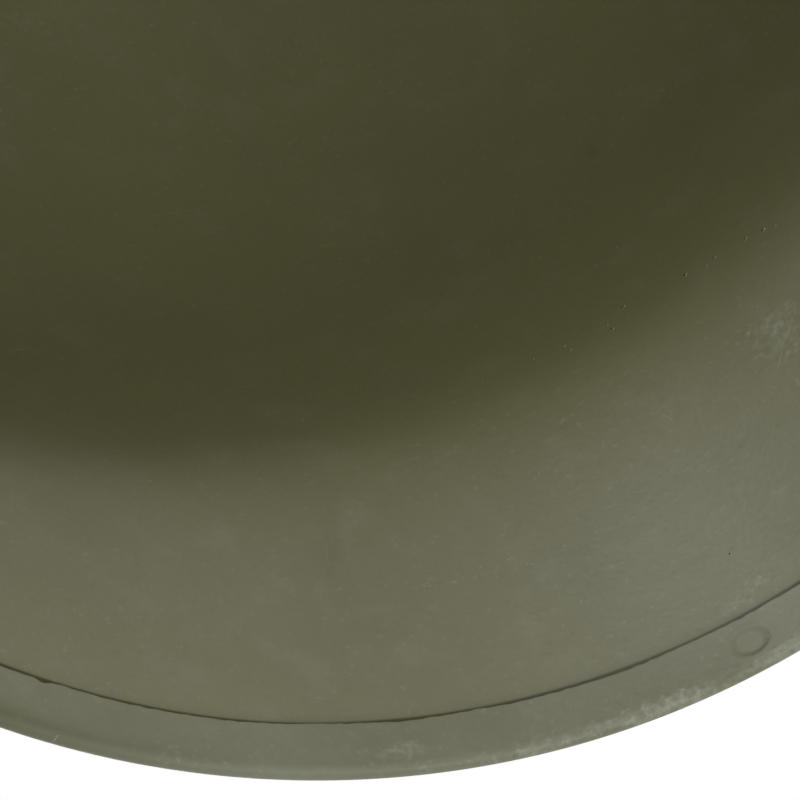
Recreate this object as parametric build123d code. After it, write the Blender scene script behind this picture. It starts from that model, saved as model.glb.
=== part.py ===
from build123d import *
import math
import os

# Steel pot helmet. Millimetres, crown along +Z, visor towards -Y, wearer's left towards +X.
# The origin is on the resting plane, under the middle of the edging.
# Angles run round the shell from the middle of the visor, through the wearer's left.

# Pressed steel shell, measured over the edging
shell_length = 280.0
shell_width = 240.0
shell_height = 178.0
sheet = 1.0
visor_reach = 33.0
nape_reach = 15.0
side_reach = 10.5
girth_height = 30.0
visor_drop = 40.0
side_drop = 17.0
nape_drop = 26.0
bend_softness = 4.5
dome_power_share = 2.8

# Height of the sheet's edge from visor to nape, at every 30 degrees, as shares of the visor's rise
edge_rise = 30.0
edge_rise_shares = (1.0, 0.70, 0.05, 0.16, 0.19, 0.09, 0.0)

# Folded edging strip, butted at the nape
strip = 0.5
edging_depth = 7.5
edging_gap = 0.1
seam_gap = 0.4
weld_dimple_radius = 2.6
weld_dimple_depth = 0.25
visor_weld_angle = -4.5
seam_weld_spacing = 9.0

# Chin strap loops and the brackets they swing in
loop_wire = 3.2
loop_opening = 20.6
loop_drop = 14.0
loop_corner = 2.7
loop_end_play = 0.3
loop_stow_swing = 8.0
hinge_rise = 21.0
hinge_fit = 0.06
bracket_sheet = 1.1
bracket_width = 25.0
bracket_height = 17.0
bracket_corner = 3.0
weld_gap = 0.12
barrel_wall_gap = 0.15

# Webbing
web_width = 19.0
web = 1.4
web_gap = 0.5
ply_gap = 0.1
loop_tail = 12.5
ring_tail = 19.0
short_strap_run = 108.0
running_end = 58.0
stow_height = 49.0
stow_climb = 24.0
stow_bend = 52.0
stow_reach = 84.0

# Ring, hook slide and end clip
ring_wire = 2.5
ring_opening = 20.4
ring_length = 14.0
ring_corner = 3.0
slide_sheet = 1.6
centre_bar = 3.0
front_slot = 3.6
rear_slot = 4.0
front_bar = 3.0
rear_bar = 2.5
slide_rail = 2.6
slide_side_gap = 0.7
slide_corner = 2.0
slide_fit = 0.35
hook_reach = 12.8
hook_sheet = 1.5
hook_width = 9.0
hook_gap = 0.65
lip_height = 1.0
clip_sheet = 0.45
clip_length = 9.0
clip_fit = 0.12

# Stitched bar tacks
tack_width = 15.0
tack_length = 4.0
tack_thread = 0.25
tack_gap = 0.08

# Sampling
edge_points = 48
skin_rows = 46
leg_steps = 3
fold_steps = 6
row_shares = (3.0, -2.8, 0.8)
slope_step_share = 1e-5

fold_radius = sheet / 2 + edging_gap + strip
edge_inset = edging_gap + strip
half_length = shell_length / 2 - edge_inset
half_width = shell_width / 2 - edge_inset
bowl_shift = (visor_reach - nape_reach) / 2
bowl_half_length = half_length - (visor_reach + nape_reach) / 2
bowl_half_width = half_width - side_reach
rest_lift = fold_radius + sheet / 4
mean_edge = edge_rise / 3


def cosine_curve(values, angle):
    """A smooth curve through values at equal steps of half a turn, level at both ends."""
    last = len(values) - 1
    total = 0
    for wave in range(last + 1):
        weight = sum(
            (0.5 if place in (0, last) else 1) * value * math.cos(math.pi * place * wave / last)
            for place, value in enumerate(values)
        )
        total += (0.5 if wave in (0, last) else 1) * 2 / last * weight * math.cos(wave * angle)
    return total


ring_angles = [math.pi * (1 + 2 * place / edge_points) for place in range(edge_points)]
lowest_share = min(cosine_curve(edge_rise_shares, math.radians(degree)) for degree in range(181))


def edge_height(angle):
    """Height of the sheet's outer edge."""
    return rest_lift + edge_rise * (cosine_curve(edge_rise_shares, angle) - lowest_share)


def knee_height(angle):
    """Height where the bowl's wall turns out into the brim."""
    drops = (visor_drop, side_drop, nape_drop)
    return edge_height(angle) + cosine_curve(drops, angle)


def soft_ramp(value):
    """Zero far below nought and the value itself far above, with a soft bend between."""
    return max(value, 0) + math.log1p(math.exp(-abs(value)))


def outer_point(height, angle):
    """The shell's outer face: a dome that turns out into the brim below its knee."""
    share = max(height - girth_height, 0) / (shell_height - girth_height)
    dome = math.sqrt(max(1 - share**dome_power_share, 0))
    knee = knee_height(angle)
    full = soft_ramp((knee - edge_height(angle)) / bend_softness)
    brim = soft_ramp((knee - height) / bend_softness) / full
    across = bowl_half_width * dome + (half_width - bowl_half_width) * brim
    along = bowl_half_length * dome + (half_length - bowl_half_length) * brim
    return Vector(
        across * math.sin(angle), bowl_shift * (1 - brim) - along * math.cos(angle), height
    )


def outer_normal(height, angle):
    step = slope_step_share
    rise = step * shell_height
    round_it = outer_point(height, angle + step) - outer_point(height, angle - step)
    up_it = outer_point(height + rise, angle) - outer_point(height - rise, angle)
    return round_it.cross(up_it).normalized()


def skin_point(height, angle, depth):
    """A point the given depth under the outer face."""
    return outer_point(height, angle) - outer_normal(height, angle) * depth


def row_height(row, angle):
    """Height of a row of the skin: 0 is the crown and 1 the edge, closest at the edge."""
    grow = sum(share * row ** (place + 2) for place, share in enumerate(row_shares))
    settle = 2 * row**4 / (1 + row**4)
    drop = shell_height - mean_edge + (mean_edge - edge_height(angle)) * settle
    return shell_height - drop * grow


def closed_curve(points):
    steps = [place / len(points) for place in range(len(points) + 1)]
    return Edge.make_spline(points, periodic=True, parameters=steps)


def skin(depth):
    """One face of the sheet, from the crown to the edge."""
    rings = []
    for row in range(1, skin_rows + 1):
        points = [
            skin_point(row_height(row / skin_rows, angle), angle, depth) for angle in ring_angles
        ]
        rings.append(Wire([closed_curve(points)]))
    return Shell.make_loft([Vertex(0, bowl_shift, shell_height - depth), *rings])


def make_shell():
    faces = []
    edges = []
    for depth in (0, sheet):
        face = skin(depth)
        faces += face.faces()
        edges.append(max(face.edges(), key=lambda edge: edge.length))
    faces.append(Face.make_surface_from_curves(*edges))
    return Solid(Shell(Face.sew_faces(faces)[0]))


def edge_frame(angle):
    """At the middle of the sheet's edge: the place, outwards through the sheet, and up it."""
    height = edge_height(angle)
    out = outer_normal(height, angle)
    step = slope_step_share
    before = outer_point(edge_height(angle - step), angle - step)
    after = outer_point(edge_height(angle + step), angle + step)
    up = out.cross((after - before).normalized())
    return outer_point(height, angle) - out * (sheet / 2), out, up


def height_over(point):
    """How far a point lies outside the shell's outer face, and the face's direction there."""
    angle = math.atan2(point.X / half_width, -(point.Y - bowl_shift) / half_length)
    for _ in range(4):
        step = slope_step_share
        base = outer_point(point.Z, angle)
        along = (outer_point(point.Z, angle + step) - base) * (1 / step)
        angle += (point - base).dot(along) / along.dot(along)
    normal = outer_normal(point.Z, angle)
    return (point - outer_point(point.Z, angle)).dot(normal), normal


def edging_section(angle, radius):
    """Points down the strip's outer leg, round under the sheet's edge and up the inner leg.

    The radius is that of the fold, and half the distance between the legs.
    """
    middle, out, up = edge_frame(angle)
    outer_leg = []
    inner_leg = []
    for place in range(leg_steps, -1, -1):
        point = middle + up * ((edging_depth - fold_radius) * place / leg_steps)
        over, normal = height_over(point)
        centre = point - normal * (over + sheet / 2)
        outer_leg.append(centre + normal * radius)
        inner_leg.append(centre - normal * radius)
    fold = []
    for place in range(1, fold_steps):
        turn = math.pi * place / fold_steps
        fold.append(middle + (out * math.cos(turn) - up * math.sin(turn)) * radius)
    return outer_leg + fold + inner_leg[::-1]


def edging_skins(radius):
    """The faces of the outer leg, the fold and the inner leg, and the closed curves at the tops."""
    sections = [edging_section(angle, radius) for angle in ring_angles]
    rings = [closed_curve(points) for points in zip(*sections)]
    fold_end = leg_steps + fold_steps
    faces = []
    for first, last in ((0, leg_steps), (leg_steps, fold_end), (fold_end, len(rings) - 1)):
        wires = [Wire([ring]) for ring in rings[first : last + 1]]
        faces += Shell.make_loft(wires).faces()
    return faces, (rings[0], rings[-1])


def weld_dimple(angle):
    """A shallow round hollow that a spot weld leaves in the strip's inner leg."""
    middle, out, up = edge_frame(angle)
    ball = (weld_dimple_radius**2 + weld_dimple_depth**2) / (2 * weld_dimple_depth)
    face = middle - out * fold_radius + up * (edging_depth / 2 - fold_radius)
    return Pos(*(face - out * (ball - weld_dimple_depth))) * Sphere(ball)


def make_edging():
    """The strip folded over the sheet's edge, with its seam and its spot welds."""
    outside, outside_tops = edging_skins(fold_radius)
    inside, inside_tops = edging_skins(fold_radius - strip)
    faces = outside + inside
    for tops in zip(outside_tops, inside_tops):
        faces.append(Face.make_surface_from_curves(*tops))
    band = Solid(Shell(Face.sew_faces(faces)[0]))
    nape = edge_frame(math.pi)[0]
    band -= Pos(*nape) * Box(seam_gap, edging_depth * 2, edging_depth * 4)
    seam_turn = seam_weld_spacing / (2 * half_width)
    for angle in (math.radians(visor_weld_angle), math.pi - seam_turn, math.pi + seam_turn):
        band -= weld_dimple(angle)
    return band


def side_angle(along, height, depth):
    """The angle at which the wearer's left side passes the plane y = along."""
    low, high = math.pi / 4, 3 * math.pi / 4
    for _ in range(50):
        middle = (low + high) / 2
        if skin_point(height, middle, depth).Y < along:
            low = middle
        else:
            high = middle
    return low


def wall_place(along, height, depth):
    return skin_point(height, side_angle(along, height, depth), depth)


hinge_along = bowl_shift
strap_angle = side_angle(hinge_along, edge_height(math.pi / 2), 0)
hinge_height = edge_height(strap_angle) + hinge_rise
loop_radius = loop_wire / 2
loop_centre_width = loop_opening + loop_wire
barrel_length = loop_centre_width - 2 * (loop_corner + loop_end_play)
barrel_radius = loop_radius + hinge_fit + bracket_sheet
barrel_wall = wall_place(hinge_along + barrel_length / 2, hinge_height + barrel_radius, sheet).X
hinge = Vector(barrel_wall - barrel_radius - barrel_wall_gap, hinge_along, hinge_height)
stow_swing = math.radians(loop_stow_swing)
loop_bar = hinge + Vector(math.sin(stow_swing), 0, -math.cos(stow_swing)) * loop_drop


def rod(radius, length):
    """A round bar along Y about the origin."""
    return Rot(90, 0, 0) * Cylinder(radius, length)


def wire_ring(length, width, corner, wire):
    """A closed rounded loop of wire, from the middle of one cross bar along +X."""
    line = Pos(length / 2, 0, 0) * RectangleRounded(length, width, corner)
    path = line.face().outer_wire()
    start = path @ 0
    section = Plane(origin=start, z_dir=path % 0) * Circle(wire / 2)
    return sweep(section, path=path)


def make_bracket():
    """A plate spot-welded inside the shell, rolled into a barrel along its lower edge."""
    half = bracket_width / 2
    top = hinge_height + bracket_height
    rows = []
    for row in range(5):
        height = hinge_height + bracket_height * (row / 4)
        rows.append([
            wall_place(hinge_along + half * (place / 3), height, sheet + weld_gap)
            for place in range(-3, 4)
        ])
    face = Face.make_surface_from_array_of_points(rows, min_deg=3, max_deg=3)
    plate = Solid.thicken(face, bracket_sheet, normal_override=(-1, 0, 0))
    middle = Vector(0, hinge_along, hinge_height + bracket_height / 2)
    facing = Plane(origin=middle, x_dir=(0, 1, 0), z_dir=(1, 0, 0))
    outline = facing * RectangleRounded(bracket_width, bracket_height, bracket_corner)
    plate = plate & extrude(outline, amount=shell_width / 2)
    barrel = Pos(*hinge) * rod(barrel_radius, barrel_length)
    bore = Pos(*hinge) * rod(loop_radius + hinge_fit, barrel_length * 2)
    return plate + barrel - bore


def make_loop():
    ring = wire_ring(loop_drop, loop_centre_width, loop_corner, loop_wire)
    return Pos(*hinge) * Rot(0, 90 - loop_stow_swing, 0) * ring


left_bracket = make_bracket()
left_loop = make_loop()


def flow_bend(share):
    """The stowed strap's line on the outer face, as an angle and a height.

    Up to a share of half it climbs from the edge and bends back, then runs level to the nape.
    """
    foot = edge_height(strap_angle)
    lean = side_angle(hinge_along, foot + sheet, 0) - strap_angle
    level = strap_angle + stow_reach / half_width
    points = (
        (strap_angle, foot),
        (strap_angle + lean * (stow_climb / sheet), foot + stow_climb),
        (level - stow_bend / half_width, stow_height),
        (level, stow_height),
    )
    if share > 1 / 2:
        return level + (math.pi - level) * (2 * share - 1), stow_height
    part = 2 * share
    blend = ((1 - part) ** 3, 3 * part * (1 - part) ** 2, 3 * part**2 * (1 - part), part**3)
    return tuple(sum(b * p[axis] for b, p in zip(blend, points)) for axis in (0, 1))


flow_samples = 160
flow_places = [flow_bend(place / flow_samples) for place in range(flow_samples + 1)]
flow_points = [outer_point(height, angle) for angle, height in flow_places]
flow_lengths = [0]
for before, after in zip(flow_points, flow_points[1:]):
    flow_lengths.append(flow_lengths[-1] + (after - before).length)
flow_total = flow_lengths[-1]


def flow_frame(length, side):
    """Base point, forward, outward and width direction of the strap's line.

    The length runs from the sheet's edge to the middle of the nape, and on past it. The side
    is 1 on the wearer's left and -1 on the right.
    """
    if length > flow_total:
        base, forward, out, wide = flow_frame(2 * flow_total - length, -side)
        return base, -forward, out, -wide
    index = 1
    while index < flow_samples and flow_lengths[index] < length:
        index += 1
    span = flow_lengths[index] - flow_lengths[index - 1]
    part = (length - flow_lengths[index - 1]) / span
    share = (index - 1 + part) / flow_samples
    angle, height = flow_bend(share)
    base = outer_point(height, angle)
    out = outer_normal(height, angle)
    ahead = outer_point(*reversed(flow_bend(share + slope_step_share)))
    behind = outer_point(*reversed(flow_bend(share - slope_step_share)))
    forward = (ahead - behind).normalized()
    wide = forward.cross(out).normalized()
    if side < 0:
        base, forward, out = (Vector(-v.X, v.Y, v.Z) for v in (base, forward, out))
        wide = forward.cross(out).normalized()
    return base, forward, out, wide


def own_lift(length):
    """How high the web's middle lies over the face, so that its flat width clears the steel."""
    base, forward, out, wide = flow_frame(min(length, 2 * flow_total - length), 1)
    lift = web_gap + web / 2
    for _ in range(3):
        short = 0
        for place in range(-2, 3):
            point = base + wide * (web_width / 2 * place / 2) + out * (lift - web / 2)
            wanted = web_gap
            if length < edging_depth + web_width / 2:
                wanted += edging_gap + strip
            short = max(short, wanted - height_over(point)[0])
        lift += short
    return lift


def on_flow(length, side, lift=None):
    base, forward, out, wide = flow_frame(length, side)
    if lift is None:
        lift = max(own_lift(length), web_gap + web / 2)
    return base + out * lift, wide


def arc_stations(centre, radius, start, end, side, step=30):
    """Stations round a bar or fold in the plane of the hinge, angles in degrees from outwards."""
    count = max(2, math.ceil(abs(end - start) / step))
    stations = []
    for place in range(count + 1):
        turn = math.radians(start + (end - start) * place / count)
        point = Vector(
            side * (centre.X + radius * math.cos(turn)), centre.Y, centre.Z + radius * math.sin(turn)
        )
        stations.append((point, Vector(0, side, 0)))
    return stations


rim_point, rim_out, _ = edge_frame(strap_angle)
rim = Vector(rim_point.X, hinge_along, rim_point.Z)
rim_swell = max(
    abs(edge_height(strap_angle + turn) - edge_height(strap_angle))
    for turn in (-web_width / 2 / half_width, web_width / 2 / half_width)
)
eye_radius = loop_radius + web_gap + web / 2
rim_turn = fold_radius + web_gap + rim_swell + web / 2
rim_reach = rim - loop_bar
rim_lean = math.atan2(rim_reach.Z, rim_reach.X)
rim_lean += math.acos((eye_radius + rim_turn) / rim_reach.length)
rim_aside = Vector(math.cos(rim_lean), 0, math.sin(rim_lean))
rim_ahead = Vector(math.sin(rim_lean), 0, -math.cos(rim_lean))


def flank(distance, side, inwards=0):
    """A station on the straight run from the loop's bar to the edging, or on its inner ply."""
    point = loop_bar + rim_aside * (eye_radius - inwards) + rim_ahead * distance
    return Vector(side * point.X, point.Y, point.Z), Vector(0, side, 0)


def loop_end(side):
    """The sewn eye round the loop's bar, then the run under the edging, up to the outer face."""
    turn = math.degrees(rim_lean)
    rise = math.degrees(math.atan2(rim_out.Z, rim_out.X))
    ply = web + ply_gap
    tail = [flank(loop_tail * share, side, ply) for share in (1, 2 / 3, 1 / 3)]
    eye = arc_stations(loop_bar, eye_radius, turn + 215, turn, side)
    under = arc_stations(rim, rim_turn, turn - 180, rise, side, 22)
    return tail + eye + under


def ribbon(stations, width, thickness, lift=0):
    """A flat band along stations, each a point and a width direction."""
    sections = []
    for place, (point, wide) in enumerate(stations):
        before = stations[max(place - 1, 0)][0]
        after = stations[min(place + 1, len(stations) - 1)][0]
        out = wide.cross(after - before).normalized()
        wide = (after - before).cross(out).normalized()
        centre = point + out * lift
        corners = [
            centre + wide * (width / 2 * across) + out * (thickness / 2 * up)
            for across, up in ((-1, -1), (1, -1), (1, 1), (-1, 1))
        ]
        sections.append(Wire.make_polygon(corners, close=True))
    return Solid.make_loft(sections, ruled=True)


def spaced(start, end, step):
    count = max(1, math.ceil(abs(end - start) / step))
    return [start + (end - start) * place / count for place in range(count + 1)]


stack_span = spaced(short_strap_run - ring_tail, flow_total, web_width / 2)
stack_lift = max(own_lift(length) for length in stack_span)
second_lift = stack_lift + web + ply_gap
ring_turn = ring_wire / 2 + web_gap + web / 2
ring_lift = stack_lift + ring_turn
ring_place = short_strap_run
slide_place = ring_place + ring_length + hook_reach
slide_turn = slide_sheet / 2 + slide_fit + web / 2
slide_lift = stack_lift + slide_turn
slide_turn_place = slide_place - centre_bar / 2 + slide_sheet / 2
tip_place = slide_place + running_end
flow_step = web_width / 3
strap_start = edging_depth


def flow_arc(place, lift, radius, start, end, side, step=30):
    """Stations round a cross bar that lies over the outer face, seen along its width."""
    count = math.ceil(abs(end - start) / step)
    stations = []
    for index in range(count + 1):
        turn = math.radians(start + (end - start) * index / count)
        stations.append(
            on_flow(place + radius * math.cos(turn), side, lift + radius * math.sin(turn))
        )
    return stations


def short_strap_stations():
    main = [on_flow(length, -1) for length in spaced(strap_start, ring_place - web_width / 3, flow_step)]
    eye = flow_arc(ring_place, ring_lift, ring_turn, -90, 110, -1)
    back = [
        on_flow(length, -1, second_lift)
        for length in spaced(ring_place - web_width / 2, ring_place - ring_tail - web_width / 3, flow_step)
    ]
    return loop_end(-1), main, eye, back


def long_strap_stations():
    """From the left loop round the nape to the slide, then back over itself to the tip."""
    end = 2 * flow_total - slide_turn_place
    main = [on_flow(length, 1) for length in spaced(strap_start, end, flow_step)]
    turned = []
    for point, wide in flow_arc(slide_turn_place, slide_lift, slide_turn, 250, 110, -1):
        turned.append((point, -wide))
    over = slide_lift + slide_turn
    bar_end = slide_place + centre_bar / 2 + rear_slot + rear_bar
    levels = (
        (slide_place, over),
        (bar_end, over),
        (bar_end + web_width / 2, tip_lift),
        (tip_place - clip_length, tip_lift),
    )
    back = []
    for (start, low), (finish, high) in zip(levels, levels[1:]):
        lengths = spaced(start, finish, flow_step)
        for length in lengths[:-1]:
            lift = low + (high - low) * (length - start) / (finish - start)
            back.append(on_flow(length, -1, lift))
    for step in (-clip_length / 2, clip_length / 2):
        back.append((tip_plane.origin + tip_plane.x_dir * step, -tip_plane.y_dir))
    back = [(point, -wide) for point, wide in back]
    return loop_end(1), main, turned, back


def local_plane(place, side, lift):
    base, forward, out, _ = flow_frame(place, side)
    return Plane(origin=base + out * lift, x_dir=forward, z_dir=out)


tip_lift = second_lift + clip_sheet + clip_fit
tip_plane = local_plane(tip_place - clip_length / 2, -1, tip_lift)
ring_axis_point = on_flow(ring_place, -1, ring_lift)[0]
ring_bar_point = on_flow(ring_place + ring_length, -1, ring_lift)[0]
ring_frame = local_plane(ring_place, -1, ring_lift)
ring_forward = (ring_bar_point - ring_axis_point).normalized()
ring_plane = Plane(origin=ring_axis_point, x_dir=ring_forward, z_dir=ring_forward.cross(ring_frame.y_dir))
slide_plane = local_plane(slide_place, -1, slide_lift)


def make_ring():
    ring = wire_ring(ring_length, ring_opening + ring_wire, ring_corner, ring_wire)
    return ring_plane.location * ring


def bent_strip(points, thickness, width):
    """A strip bent through points in XZ, rounded at its bends and ends."""
    solids = []
    for (x, z), (next_x, next_z) in zip(points, points[1:]):
        run = math.hypot(next_x - x, next_z - z)
        tilt = math.degrees(math.atan2(next_z - z, next_x - x))
        middle = Pos((x + next_x) / 2, 0, (z + next_z) / 2)
        solids.append(middle * Rot(0, -tilt, 0) * Box(run, width, thickness))
    for x, z in points:
        solids.append(Pos(x, 0, z) * rod(thickness / 2, width))
    body = solids[0]
    for solid in solids[1:]:
        body += solid
    return body


def make_slide():
    """A flat three-bar slide whose front bar runs down into a hook under the ring."""
    bar = slide_plane.to_local_coords(ring_bar_point)
    opening = web_width + 2 * slide_side_gap
    front = -(centre_bar / 2 + front_slot + front_bar)
    rear = centre_bar / 2 + rear_slot + rear_bar
    frame = Pos((front + rear) / 2, 0) * RectangleRounded(
        rear - front, opening + 2 * slide_rail, slide_corner
    )
    frame -= Pos(-(centre_bar + front_slot) / 2, 0) * Rectangle(front_slot, opening)
    frame -= Pos((centre_bar + rear_slot) / 2, 0) * Rectangle(rear_slot, opening)
    plate = extrude(frame, amount=slide_sheet / 2, both=True)
    under = bar.Z - ring_wire / 2 - hook_gap / 2 - hook_sheet / 2
    lip = bar.X - ring_wire / 2 - hook_gap - hook_sheet / 2
    line = (
        (front + front_bar / 2, 0),
        (front, 0),
        (front - hook_sheet, under),
        (lip, under),
        (lip, bar.Z + lip_height),
    )
    hook = bent_strip(line, hook_sheet, hook_width)
    return slide_plane.location * (plate + hook)


def make_end_clip():
    """A folded metal tip over the strap's free end."""
    wall = clip_sheet + clip_fit
    body = Box(clip_length, web_width + 2 * wall, web + 2 * wall)
    pocket = Box(clip_length, web_width + 2 * clip_fit, web + 2 * clip_fit)
    return tip_plane.location * (Pos(wall, 0, 0) * body - Pos(clip_fit, 0, 0) * pocket)


def tack(first, last, lift):
    """Thread bars on both faces of two sewn plies, between two stations of their middle."""
    bars = []
    for side in (-1, 1):
        step = side * (lift + web / 2 + tack_gap + tack_thread / 2)
        bars.append(ribbon([first, last], tack_width, tack_thread, step))
    return Compound(bars)


def make_loop_tack(side):
    """The tack that closes the strap's eye round the loop."""
    start = loop_tail / 3 + web_gap
    middle = (web + ply_gap) / 2
    stations = [flank(distance, side, middle) for distance in (start, start + tack_length)]
    return tack(*stations, middle)


def make_ring_tack():
    """The tack that closes the short strap's eye round the ring."""
    start = ring_place - ring_tail + tack_length / 2
    middle = (stack_lift + second_lift) / 2
    stations = [on_flow(length, -1, middle) for length in (start, start + tack_length)]
    return tack(*stations, (second_lift - stack_lift) / 2)


short_loop_end, short_main, short_eye, short_back = short_strap_stations()
long_loop_end, long_main, long_turn, long_back = long_strap_stations()
short_strap = ribbon(short_loop_end + short_main + short_eye + short_back, web_width, web)
long_strap = ribbon(long_loop_end + long_main + long_turn + long_back, web_width, web)

nodes = {
    "shell": make_shell(),
    "edging": make_edging(),
    "left_loop_bracket": left_bracket,
    "right_loop_bracket": mirror(left_bracket, about=Plane.YZ),
    "left_loop": left_loop,
    "right_loop": mirror(left_loop, about=Plane.YZ),
    "long_strap": long_strap,
    "short_strap": short_strap,
    "strap_ring": make_ring(),
    "hook_slide": make_slide(),
    "strap_end_clip": make_end_clip(),
    "long_strap_loop_tack": make_loop_tack(1),
    "short_strap_loop_tack": make_loop_tack(-1),
    "short_strap_ring_tack": make_ring_tack(),
}

os.makedirs("parts", exist_ok=True)
for name, solid in nodes.items():
    export_step(solid, f"parts/{name}.step")
    print(name, round(solid.volume, 1), solid.is_valid, solid.bounding_box())
print("strap line to the nape", flow_total, "hinge", hinge, "loop bar", loop_bar)
print("ring axis", ring_axis_point, "direction", ring_plane.y_dir, ring_plane.z_dir)
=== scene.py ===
# %% [markdown]
# # Steel pot helmet
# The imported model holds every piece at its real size. This lesson dresses it: the thin painted
# steel, the folded edging with its spot welds, the webbing and its stitches. Everything stays in
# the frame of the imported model, so no piece has to be fitted by eye.

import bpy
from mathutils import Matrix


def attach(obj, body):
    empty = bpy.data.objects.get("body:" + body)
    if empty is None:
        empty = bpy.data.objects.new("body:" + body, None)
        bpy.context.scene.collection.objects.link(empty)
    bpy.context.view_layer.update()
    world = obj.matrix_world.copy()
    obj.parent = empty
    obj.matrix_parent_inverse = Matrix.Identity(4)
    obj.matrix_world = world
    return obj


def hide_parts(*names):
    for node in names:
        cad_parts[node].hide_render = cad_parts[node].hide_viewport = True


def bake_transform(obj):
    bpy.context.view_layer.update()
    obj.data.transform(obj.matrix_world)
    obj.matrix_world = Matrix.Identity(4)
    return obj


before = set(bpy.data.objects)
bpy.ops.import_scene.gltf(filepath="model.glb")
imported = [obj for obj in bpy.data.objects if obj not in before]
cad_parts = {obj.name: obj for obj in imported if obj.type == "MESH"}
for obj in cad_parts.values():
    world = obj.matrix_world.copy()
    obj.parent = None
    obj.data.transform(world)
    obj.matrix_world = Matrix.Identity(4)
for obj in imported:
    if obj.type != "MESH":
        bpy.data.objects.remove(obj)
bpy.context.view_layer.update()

# %%
import math

import bpy
import numpy as np
from mathutils import Matrix, Vector
from mathutils.bvhtree import BVHTree

millimetre = 0.001

# %% [markdown]
# ## The camera
# The photograph looks up into the bowl, from close to the crown's axis, at the underside of the
# visor a little to the wearer's left of its tip. The helmet here stands on its edging, so the
# camera looks up at it from below the floor, and it rolls until the visor's edge crosses the
# picture as it does in the photograph. A long lens from 0.7 m gives the flat perspective of a
# detail shot; a short lens close by would swell the visor.

# %% Camera
picture_width = 800
sensor_width = 36.0
lens = 252.76
camera_distance = 700.0
camera_azimuth = math.radians(-30.95)
camera_elevation = math.radians(78.0)
camera_roll = math.radians(-53.23)
camera_aim = Vector((16.18, -97.64, 63.11))

look = Vector((
    math.sin(camera_azimuth) * math.cos(camera_elevation),
    -math.cos(camera_azimuth) * math.cos(camera_elevation),
    math.sin(camera_elevation),
))
level_right = look.cross(Vector((0, 0, 1))).normalized()
level_up = level_right.cross(look)
camera_right = level_right * math.cos(camera_roll) + level_up * math.sin(camera_roll)
camera_up = level_up * math.cos(camera_roll) - level_right * math.sin(camera_roll)
camera_place = camera_aim - look * camera_distance


def add_object(name, data):
    thing = bpy.data.objects.new(name, data)
    bpy.context.collection.objects.link(thing)
    return thing


camera = add_object("camera", bpy.data.cameras.new("camera"))
camera.data.lens = lens
camera.data.sensor_width = sensor_width
camera.data.clip_start = 0.01
camera.matrix_world = Matrix.Translation(camera_place * millimetre) @ Matrix(
    (camera_right, camera_up, -look)
).transposed().to_4x4()
bpy.context.scene.camera = camera
pixels_per_slope = picture_width * lens / sensor_width
picture_middle = picture_width / 2


def in_picture(points):
    """Where points in millimetres lie in the photograph's frame, in pixels from its top left."""
    rays = np.asarray(points) - np.array(camera_place)
    depth = rays @ np.array(look)
    across = rays @ np.array(camera_right) / depth
    down = -(rays @ np.array(camera_up)) / depth
    return picture_middle + across * pixels_per_slope, picture_middle + down * pixels_per_slope


print("camera at", tuple(round(value) for value in camera_place), "mm")

# %% [markdown]
# ## The bowl's shape
# The shell is one pressing, so one formula gives every point of its outer face: a dome that turns
# out into the brim below its knee. A mesh could also be modelled by hand and smoothed, but the
# formula keeps each piece on the steel to a tenth of a millimetre.

# %% Sizes of the shell, in millimetres
shell_length, shell_width, shell_height, sheet = 280.0, 240.0, 178.0, 1.0
visor_reach, nape_reach, side_reach = 33.0, 15.0, 10.5
girth_height = 30.0
knee_drops = (40.0, 17.0, 26.0)
bend_softness = 4.5
dome_power = 2.8
edge_rise = 30.0
edge_rise_shares = (1.0, 0.70, 0.05, 0.16, 0.19, 0.09, 0.0)
strip, edging_depth, edging_gap = 0.5, 7.5, 0.1
fold_radius = sheet / 2 + edging_gap + strip
half_length = shell_length / 2 - edging_gap - strip
half_width = shell_width / 2 - edging_gap - strip
bowl_shift = (visor_reach - nape_reach) / 2
bowl_half_length = half_length - (visor_reach + nape_reach) / 2
bowl_half_width = half_width - side_reach
rest_lift = fold_radius + sheet / 4


def cosine_curve(values, angle):
    """A smooth curve through values at equal steps of half a turn, level at both ends."""
    last = len(values) - 1
    total = 0
    for wave in range(last + 1):
        weight = sum(
            (0.5 if place in (0, last) else 1) * value * math.cos(math.pi * place * wave / last)
            for place, value in enumerate(values)
        )
        total = total + (0.5 if wave in (0, last) else 1) * 2 / last * weight * np.cos(wave * angle)
    return total


lowest_share = cosine_curve(edge_rise_shares, np.radians(np.arange(181))).min()


def edge_height(angle):
    return rest_lift + edge_rise * (cosine_curve(edge_rise_shares, angle) - lowest_share)


def knee_height(angle):
    return edge_height(angle) + cosine_curve(knee_drops, angle)


def soft_ramp(value):
    return np.maximum(value, 0) + np.log1p(np.exp(-np.abs(value)))


def outer_point(height, angle):
    """Points of the outer face. Angles run from the visor round the wearer's left."""
    share = np.maximum(height - girth_height, 0) / (shell_height - girth_height)
    dome = np.sqrt(np.maximum(1 - share**dome_power, 0))
    knee = knee_height(angle)
    brim = soft_ramp((knee - height) / bend_softness)
    brim = brim / soft_ramp((knee - edge_height(angle)) / bend_softness)
    across = bowl_half_width * dome + (half_width - bowl_half_width) * brim
    along = bowl_half_length * dome + (half_length - bowl_half_length) * brim
    return np.stack(
        [across * np.sin(angle), bowl_shift * (1 - brim) - along * np.cos(angle), height + 0 * angle],
        axis=-1,
    )


def unit(vectors):
    return vectors / np.linalg.norm(vectors, axis=-1, keepdims=True)


def outer_normal(height, angle):
    step = 1e-4
    rise = step * shell_height
    round_it = outer_point(height, angle + step) - outer_point(height, angle - step)
    up_it = outer_point(height + rise, angle) - outer_point(height - rise, angle)
    return unit(np.cross(round_it, up_it))


print("edge heights at visor, side and nape", np.round(edge_height(np.radians([0.0, 90, 180])), 2))

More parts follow.
